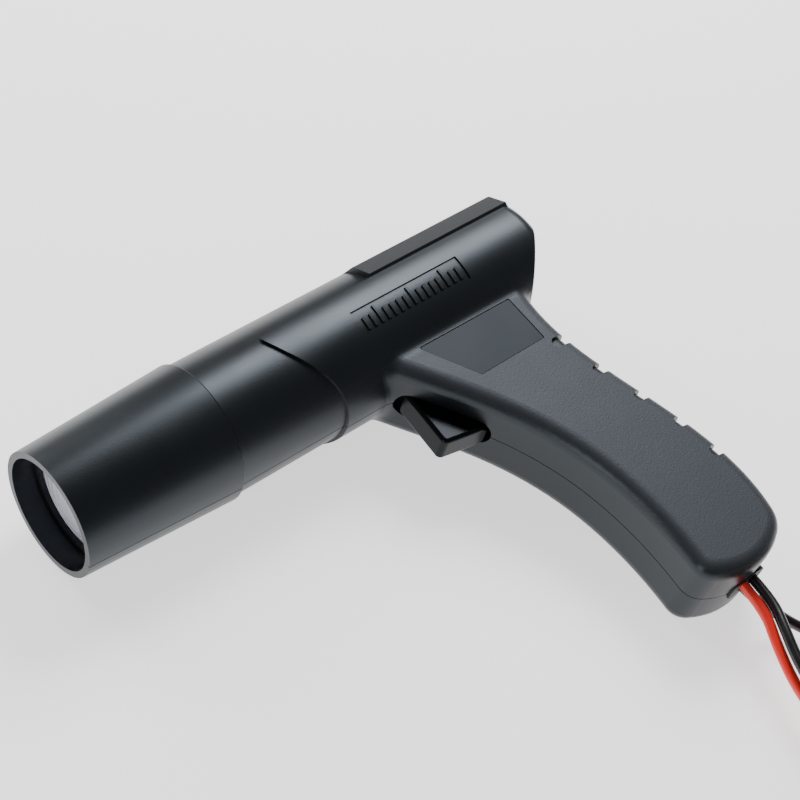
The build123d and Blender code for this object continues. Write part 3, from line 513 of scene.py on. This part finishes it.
def rib_tree(material):
    """A row of round-backed finger ribs: count, pitch along the row, and each rib's length and radius."""
    tree, sizes = node_group("finger_ribs", (
        ("Count", "Int", 6), ("Start", "Vector", (0, 0, 0)), ("Step", "Vector", (0.002, 0, 0)),
        ("Length", "Float", 0.008), ("Radius", "Float", 0.0006),
    ))
    row = add_node(
        tree, "GeometryNodeMeshLine",
        links={"Count": (sizes, "Count"), "Start Location": (sizes, "Start"), "Offset": (sizes, "Step")},
    )
    half = add_node(tree, "ShaderNodeMath", {"operation": "MULTIPLY", 1: 0.5}, {0: (sizes, "Length")})
    down = add_node(tree, "ShaderNodeMath", {"operation": "MULTIPLY", 1: -0.5}, {0: (sizes, "Length")})
    top = add_node(tree, "ShaderNodeCombineXYZ", links={"Z": (half, "Value")})
    low = add_node(tree, "ShaderNodeCombineXYZ", links={"Z": (down, "Value")})
    bar = add_node(tree, "GeometryNodeCurvePrimitiveLine", links={"Start": (low, "Vector"), "End": (top, "Vector")})
    profile = add_node(tree, "GeometryNodeCurvePrimitiveCircle", {"Resolution": 16}, {"Radius": (sizes, "Radius")})
    rib = add_node(
        tree, "GeometryNodeCurveToMesh", {"Fill Caps": True},
        {"Curve": (bar, "Curve"), "Profile Curve": (profile, "Curve")},
    )
    ribs = add_node(tree, "GeometryNodeInstanceOnPoints", links={"Points": (row, "Mesh"), "Instance": (rib, "Mesh")})
    real = add_node(tree, "GeometryNodeRealizeInstances", links={"Geometry": (ribs, "Instances")})
    coat = add_node(tree, "GeometryNodeSetMaterial", {"Material": material}, {"Geometry": (real, "Geometry")})
    add_node(tree, "NodeGroupOutput", links={"Geometry": (coat, "Geometry")})
    return tree


def rib_rows(name, tree, middle, back, front, inset, sink, height, levers, slot, **sizes):
    """A row of ribs on each handle of a clamp, which follows the handle's outer face from back to front."""
    slope = (front[1] - back[1]) / (front[0] - back[0])
    step = sizes.pop("Pitch")
    for side, part in ((-1, "fixed"), (1, "moving")):
        start = (
            middle[0] + (back[0] + inset) * MM, middle[1] + side * (back[1] + inset * slope - sink) * MM, height
        )
        piece_name = name + "_ribs_" + part
        mesh = grown(piece_name, tree, {"Start": start, "Step": (step, side * step * slope, 0), **sizes})
        finish_mesh(piece_name, mesh, levers[part])


# Middle of each battery clip, and the back and front end of a boot's outer face from there, in millimetres.
CLIPS = {"red": (0.164, -0.202), "black": (0.164, -0.128)}
CLIP_MIDDLE = 0.006
BOOT_BACK = (-29.1, 11.2)
BOOT_FRONT = (-9.5, 8.1)
BOOT_RIB_INSET = 3.0
BOOT_RIB_SINK = 0.1
BOOT_RIB_LENGTH = 0.009


class TIMINGLIGHT_OT_clips(bpy.types.Operator):
    """Finishes the battery clips and adds the finger ribs on their boots"""

    bl_idname = "timinglight.clips"
    bl_label = "Battery clips"

    def execute(self, context):
        sizes = context.scene.timing_light_sizes
        finish = context.scene.timing_light_finish
        # pale grey metal with a streaky highlight along the jaws
        zinc = brushed("steel_pressed_zinc_plated", "#b9bcbd", 0.34, 0)
        # darker, evenly bright wire
        wire = plain("spring_wire_drawn", "#8f9294", 0.3, 1.0)
        for colour, middle in CLIPS.items():
            clip = colour + "_clip_"
            # the lead's colour again, with the same wet-looking gloss
            soft = sheath("pvc_dipped_" + colour, getattr(finish, colour + "_lead"))
            paint([clip + "boot", clip + "moving_boot"], soft)
            paint([clip + "jaw", clip + "moving_jaw", clip + "rivet"], zinc)
            paint([clip + "spring"], wire)
            rib_rows(
                colour + "_clip", rib_tree(soft), middle, BOOT_BACK, BOOT_FRONT, BOOT_RIB_INSET, BOOT_RIB_SINK,
                CLIP_MIDDLE, {"fixed": "gun", "moving": clip + "lever"}, colour + "_pvc",
                Count=sizes.rib_count, Pitch=sizes.rib_pitch, Length=BOOT_RIB_LENGTH, Radius=sizes.rib_radius,
            )
        return {"FINISHED"}


# Middle of the pickup clamp, and the back and front end of a handle's outer face from there, in millimetres.
PICKUP = (0.170, -0.166)
PICKUP_MIDDLE = 0.010
PICKUP_BACK = (-30.0, 17.0)
PICKUP_FRONT = (-6.0, 12.5)
PICKUP_RIB_INSET = 2.5
PICKUP_RIB_SINK = 0.2
PICKUP_RIB_LENGTH = 0.016
PICKUP_RIB_RADIUS = 0.0008


class TIMINGLIGHT_OT_pickup(bpy.types.Operator):
    """Finishes the inductive pickup clamp and adds its finger ribs"""

    bl_idname = "timinglight.pickup"
    bl_label = "Pickup"

    def execute(self, context):
        sizes = context.scene.timing_light_sizes
        # dull black, with a fine relief that breaks up its highlights
        nylon = moulded("nylon_glass_filled", "#0d0e10", 0.6, 0.03, 0.48)
        paint(["pickup_body", "pickup_jaw"], nylon)
        # dark grey and stony
        ferrite = plain("ferrite_sintered", "#26272a", 0.62, bump_mm=0.02)
        paint(["pickup_core", "pickup_jaw_core", "transformer_core"], ferrite)
        # bright end of a pin in the black clamp
        paint(["pickup_pin"], brushed("steel_pin_ground", "#a9acad", 0.3, 2))
        paint(["pickup_spring", "plunger_spring"], plain("spring_wire_plain", "#85888a", 0.32, 1.0))
        rib_rows(
            "pickup", rib_tree(nylon), PICKUP, PICKUP_BACK, PICKUP_FRONT, PICKUP_RIB_INSET, PICKUP_RIB_SINK,
            PICKUP_MIDDLE, {"fixed": "gun", "moving": "pickup_lever"}, "pickup_plastic",
            Count=sizes.rib_count, Pitch=sizes.rib_pitch, Length=PICKUP_RIB_LENGTH, Radius=PICKUP_RIB_RADIUS,
        )
        return {"FINISHED"}


class TIMINGLIGHT_OT_inside(bpy.types.Operator):
    """Finishes everything that the half shells close in"""

    bl_idname = "timinglight.inside"
    bl_label = "Inside"

    def execute(self, context):
        # bright, slightly streaked screws
        zinc = brushed("steel_screw_zinc_plated", "#b4b7b9", 0.32, 2)
        paint(["case_screws", "board_screws", "trigger_pin"], zinc)
        # board and parts on it: green, copper, blue and brown under smooth lacquers and sleeves
        paint(["circuit_board"], plain("glass_fibre_laminate_lacquered", "#1f5a33", 0.3))
        paint(["trigger_coil"], plain("copper_wire_enamelled", "#a5562a", 0.35, 1.0))
        paint(["transformer_bobbin"], moulded("nylon_natural", "#b9b294", 0.5, 0.01, 0.5))
        paint(["storage_capacitor"], plain("sleeve_shrunk", "#1b2b5c", 0.28))
        paint(["small_capacitors"], plain("epoxy_dipped", "#8c2f16", 0.22))
        paint(["heat_sink"], brushed("aluminium_extruded", "#c2c4c6", 0.38, 1))
        paint(["power_transistor"], plain("epoxy_moulding_compound", "#151617", 0.6))
        paint(["resistors"], plain("resistor_lacquer", "#b99a68", 0.35))
        # switch in plain mouldings, wires in glossy PVC
        paint(["switch_body"], moulded("nylon_black", "#101113", 0.4, 0.01, 0.5))
        paint(["switch_plunger"], moulded("acetal_natural", "#d8d2be", 0.4, 0.006, 0.35))
        paint(["inner_wires", "lamp_wires"], sheath("pvc_hookup_wire", "#8c1d18"))
        return {"FINISHED"}


# A strap's own section round the coils, in millimetres: inside and outside of the rings, top, corners and thickness.
TIE_INNER = 12.2
TIE_OUTER = 29.9
TIE_TOP = 23.0
TIE_CORNER = 3.0
TIE_THICK = 0.9
# Where the rows of the strap lie across its width, and how much its edges are rounded off.
TIE_ROWS = (-0.5, -0.46, 0.46, 0.5)
TIE_EDGE = 0.25
CORNER_STEPS = 6


def tie_band(name, angle, width, material):
    """A strap wrapped round the stacked coils, at an angle round them."""
    left, right = TIE_INNER + TIE_CORNER, TIE_OUTER - TIE_CORNER
    low, high = TIE_CORNER, TIE_TOP - TIE_CORNER
    outline = []
    for x, z, start in ((right, high, 0), (left, high, 90), (left, low, 180), (right, low, 270)):
        for i in range(CORNER_STEPS + 1):
            turn = math.radians(start + 90 / CORNER_STEPS * i)
            outline.append((x, z, math.cos(turn), math.sin(turn)))
    bm = bmesh.new()
    rows = []
    turn = Matrix.Rotation(math.radians(angle), 4, "Z")
    for across in TIE_ROWS:
        edge = TIE_EDGE if across in (TIE_ROWS[0], TIE_ROWS[-1]) else 0.0
        for reach in (TIE_CORNER + edge, TIE_CORNER + TIE_THICK - edge):
            row = []
            for x, z, ux, uz in outline:
                place = Vector(((x + ux * reach) * MM, across * width, max((z + uz * reach) * MM, 0.0)))
                row.append(bm.verts.new(COIL_CENTRE + turn @ place))
            rows.append(row)
    count = len(outline)
    # inner rows are the even ones, outer rows the odd ones
    order = [0, 2, 4, 6, 7, 5, 3, 1]
    for a, b in zip(order, order[1:] + order[:1]):
        for i in range(count):
            j = (i + 1) % count
            bm.faces.new((rows[a][i], rows[b][i], rows[b][j], rows[a][j]))
    bmesh.ops.recalc_face_normals(bm, faces=bm.faces)
    mesh = bpy.data.meshes.new(name)
    bm.to_mesh(mesh)
    bm.free()
    mesh.materials.append(material)
    finish_mesh(name, mesh, "gun")


class TIMINGLIGHT_OT_ties(bpy.types.Operator):
    """Wraps two straps round the stacked coils"""

    bl_idname = "timinglight.ties"
    bl_label = "Ties"

    def execute(self, context):
        # matt black, with a rough woven surface that holds no highlight
        strap = plain("nylon_strap_woven", "#15161a", 0.8, wear_mm=0.6, bump_mm=0.12)
        for name, angle in (("coil_tie_front", -48), ("coil_tie_back", 125)):
            tie_band(name, angle, context.scene.timing_light_sizes.tie_width, strap)
        return {"FINISHED"}


class TIMINGLIGHT_OT_lamp(bpy.types.Operator):
    """Finishes the lens and the lamp behind it, and adds the lens's moulded rings"""

    bl_idname = "timinglight.lamp"
    bl_label = "Lamp"

    def execute(self, context):
        # clear acrylic with high gloss; its pale lavender-white colour is a painted reflection: the lit bowl behind
        # it, painted into the lens as a pale lavender disc
        acrylic = plain(
            "acrylic_clear_moulded", "#e4e4f2", 0.08, IOR=1.49, Transmission_Weight=0.35, spread=0.03
        )
        paint(["lens"], acrylic)
        # mirror-bright bowl, white glazed holder and a clear tube, which only light the lens from behind
        paint(["reflector"], plain("aluminium_vacuum_coated", "#e9e9ef", 0.16, 1.0))
        paint(["lamp_holder"], plain("steatite_glazed", "#e6e0d0", 0.3))
        paint(["flash_tube"], plain("quartz_clear", "#f2f2f6", 0.05, IOR=1.46, Transmission_Weight=0.9))
        # the rings take the lens's colour, with its painted reflection of the bowl
        finish_mesh("lens_rings", lens_rings(acrylic), "gun")
        return {"FINISHED"}


# Front of the lens behind the muzzle, in millimetres.
LENS_FRONT = 7.6


def lens_rings(material):
    """Fine raised rings on the front of the lens, evenly spaced and following its bulge."""
    tree, sizes = node_group("lens_rings", (
        ("Rings", "Int", 4), ("First Radius", "Float", 0.0055), ("Pitch", "Float", 0.0034),
        ("Bead Radius", "Float", 0.00022), ("Front X", "Float", 0.0), ("Bulge", "Float", 0.003),
        ("Edge Radius", "Float", 0.0196),
    ))
    points = add_node(tree, "GeometryNodePoints", links={"Count": (sizes, "Rings")})
    number = add_node(tree, "GeometryNodeInputIndex")
    steps = add_node(tree, "ShaderNodeMath", {"operation": "MULTIPLY"}, {0: (number, "Index"), 1: (sizes, "Pitch")})
    radius = add_node(
        tree, "ShaderNodeMath", {"operation": "ADD"}, {0: (steps, "Value"), 1: (sizes, "First Radius")}
    )
    share = add_node(
        tree, "ShaderNodeMath", {"operation": "DIVIDE"}, {0: (radius, "Value"), 1: (sizes, "Edge Radius")}
    )
    square = add_node(tree, "ShaderNodeMath", {"operation": "MULTIPLY"}, {0: (share, "Value"), 1: (share, "Value")})
    sink = add_node(tree, "ShaderNodeMath", {"operation": "MULTIPLY"}, {0: (square, "Value"), 1: (sizes, "Bulge")})
    ahead = add_node(tree, "ShaderNodeMath", {"operation": "ADD"}, {0: (sink, "Value"), 1: (sizes, "Front X")})
    place = add_node(tree, "ShaderNodeCombineXYZ", {"Y": AXIS_Y * MM, "Z": AXIS_Z * MM}, {"X": (ahead, "Value")})
    # each ring's centre is its point's own place
    seated = add_node(tree, "GeometryNodeSetPosition", links={"Geometry": (points, 0), "Position": (place, "Vector")})
    circle = add_node(tree, "GeometryNodeCurvePrimitiveCircle", {"Resolution": 64, "Radius": 1.0})
    put = add_node(
        tree, "GeometryNodeInstanceOnPoints", {"Rotation": (0.0, math.pi / 2, 0.0)},
        {"Points": (seated, "Geometry"), "Instance": (circle, "Curve"), "Scale": (radius, "Value")},
    )
    real = add_node(tree, "GeometryNodeRealizeInstances", links={"Geometry": (put, "Instances")})
    profile = add_node(
        tree, "GeometryNodeCurvePrimitiveCircle", {"Resolution": 8}, {"Radius": (sizes, "Bead Radius")}
    )
    solid = add_node(
        tree, "GeometryNodeCurveToMesh", {"Fill Caps": False},
        {"Curve": (real, "Geometry"), "Profile Curve": (profile, "Curve")},
    )
    coat = add_node(tree, "GeometryNodeSetMaterial", {"Material": material}, {"Geometry": (solid, "Mesh")})
    add_node(tree, "NodeGroupOutput", links={"Geometry": (coat, "Geometry")})
    return grown("lens_rings", tree, {"Front X": (LENS_FRONT + MUZZLE_X) * MM})


# ---------------------------------------------------------------- stage
# The camera stands in front of the muzzle, above the gun's left side.
CAMERA_PLACE = Vector((-0.2912, -0.18865, 0.49787))
CAMERA_RIGHT = (0.7402, -0.6343, 0.2229)
CAMERA_DOWN = (-0.4318, -0.7026, -0.5656)
CAMERA_AHEAD = (0.5154, 0.3224, -0.7940)
CAMERA_LENS = 80.39
SENSOR_WIDTH = 36.0
FLOOR_REACH = 3.0
# Soft lights: where each stands, what it points at and its width, in metres.
SOFT_LIGHTS = {
    "key": ((0.50, 0.42, 0.72), (0.03, 0.0, 0.02), 0.45),
    "back": ((-0.15, 0.85, 0.45), (-0.03, 0.03, 0.02), 0.5),
    "muzzle": ((-0.75, -0.12, 0.22), (-0.09, 0.06, 0.025), 0.3),
}


def rolled(direction):
    """A direction of the gun's own frame, in the row frame."""
    return Matrix.Rotation(ROLL, 3, "X") @ Vector(direction)


def soft_light(name, place, aim, size, power):
    """A square area light that points at a place."""
    data = bpy.data.lights.new(name, "AREA")
    data.size = size
    data.energy = power
    light = bpy.data.objects.new(name, data)
    light.location = place
    light.rotation_euler = (Vector(aim) - Vector(place)).to_track_quat("-Z", "Y").to_euler()
    bpy.context.scene.collection.objects.link(light)


class TIMINGLIGHT_OT_stage(bpy.types.Operator):
    """Sets the floor, the studio lights and the camera"""

    bl_idname = "timinglight.stage"
    bl_label = "Stage"

    def execute(self, context):
        stage = context.scene.timing_light_stage
        finish = context.scene.timing_light_finish
        floor = bpy.data.meshes.new("studio_floor")
        corners = [(x * FLOOR_REACH, y * FLOOR_REACH, 0) for x, y in ((-1, -1), (1, -1), (1, 1), (-1, 1))]
        floor.from_pydata(corners, [], [(0, 1, 2, 3)])
        # lit from below, so shadows on it stay faint and the underside of the gun is lightened
        material, tree, shader, coords = new_material("opal_acrylic_table")
        shader.inputs["Base Color"].default_value = linear(finish.floor)
        shader.inputs["Roughness"].default_value = 0.9
        shader.inputs["Emission Color"].default_value = linear(finish.floor)
        shader.inputs["Emission Strength"].default_value = stage.table_glow
        floor.materials.append(material)
        piece = bpy.data.objects.new("studio_floor", floor)
        context.scene.collection.objects.link(piece)

        world = bpy.data.worlds.new("studio_room")
        world.use_nodes = True
        world.node_tree.nodes["Background"].inputs["Color"].default_value = (1, 1, 1, 1)
        world.node_tree.nodes["Background"].inputs["Strength"].default_value = stage.sky
        context.scene.world = world

        for name, (place, aim, size) in SOFT_LIGHTS.items():
            soft_light(name + "_softbox", place, aim, size, getattr(stage, name + "_power"))

        camera_data = bpy.data.cameras.new("studio_camera")
        camera_data.lens = CAMERA_LENS
        camera_data.sensor_width = SENSOR_WIDTH
        camera_data.clip_start = 0.01
        camera = bpy.data.objects.new("studio_camera", camera_data)
        turn = Matrix((rolled(CAMERA_RIGHT), -rolled(CAMERA_DOWN), -rolled(CAMERA_AHEAD))).transposed()
        camera.matrix_world = Matrix.Translation(CAMERA_PLACE) @ turn.to_4x4()
        context.scene.collection.objects.link(camera)
        context.scene.camera = camera
        return {"FINISHED"}


OPERATORS = (
    TIMINGLIGHT_OT_stage, TIMINGLIGHT_OT_leads, TIMINGLIGHT_OT_ties, TIMINGLIGHT_OT_case, TIMINGLIGHT_OT_lamp,
    TIMINGLIGHT_OT_clips, TIMINGLIGHT_OT_pickup, TIMINGLIGHT_OT_inside,
)


class TIMINGLIGHT_PT_panel(bpy.types.Panel):
    """Lists the steps that finish the timing light"""

    bl_idname = "TIMINGLIGHT_PT_panel"
    bl_label = "Timing light"
    bl_space_type = "VIEW_3D"
    bl_region_type = "UI"
    bl_category = "Timing light"

    def draw(self, context):
        for group_name in GROUPS:
            group = getattr(context.scene, group_name)
            for key in group.bl_rna.properties.keys():
                if key not in ("rna_type", "name"):
                    self.layout.prop(group, key)
        for operator in OPERATORS:
            self.layout.operator(operator.bl_idname)


GROUPS = {
    "timing_light_sizes": TimingLightSizes,
    "timing_light_finish": TimingLightFinish,
    "timing_light_stage": TimingLightStage,
}


def register():
    """Adds the property groups, the operators and the panel."""
    for group in GROUPS.values():
        bpy.utils.register_class(group)
    for key, group in GROUPS.items():
        setattr(bpy.types.Scene, key, bpy.props.PointerProperty(type=group))
    for operator in OPERATORS:
        bpy.utils.register_class(operator)
    bpy.utils.register_class(TIMINGLIGHT_PT_panel)


def unregister():
    """Takes them away again."""
    bpy.utils.unregister_class(TIMINGLIGHT_PT_panel)
    for operator in reversed(OPERATORS):
        bpy.utils.unregister_class(operator)
    for key in GROUPS:
        delattr(bpy.types.Scene, key)
    for group in reversed(list(GROUPS.values())):
        bpy.utils.unregister_class(group)


def main():
    """Runs every step in order."""
    register()
    for operator in OPERATORS:
        group, step = operator.bl_idname.split(".")
        getattr(getattr(bpy.ops, group), step)()


if __name__ == "__main__":
    main()
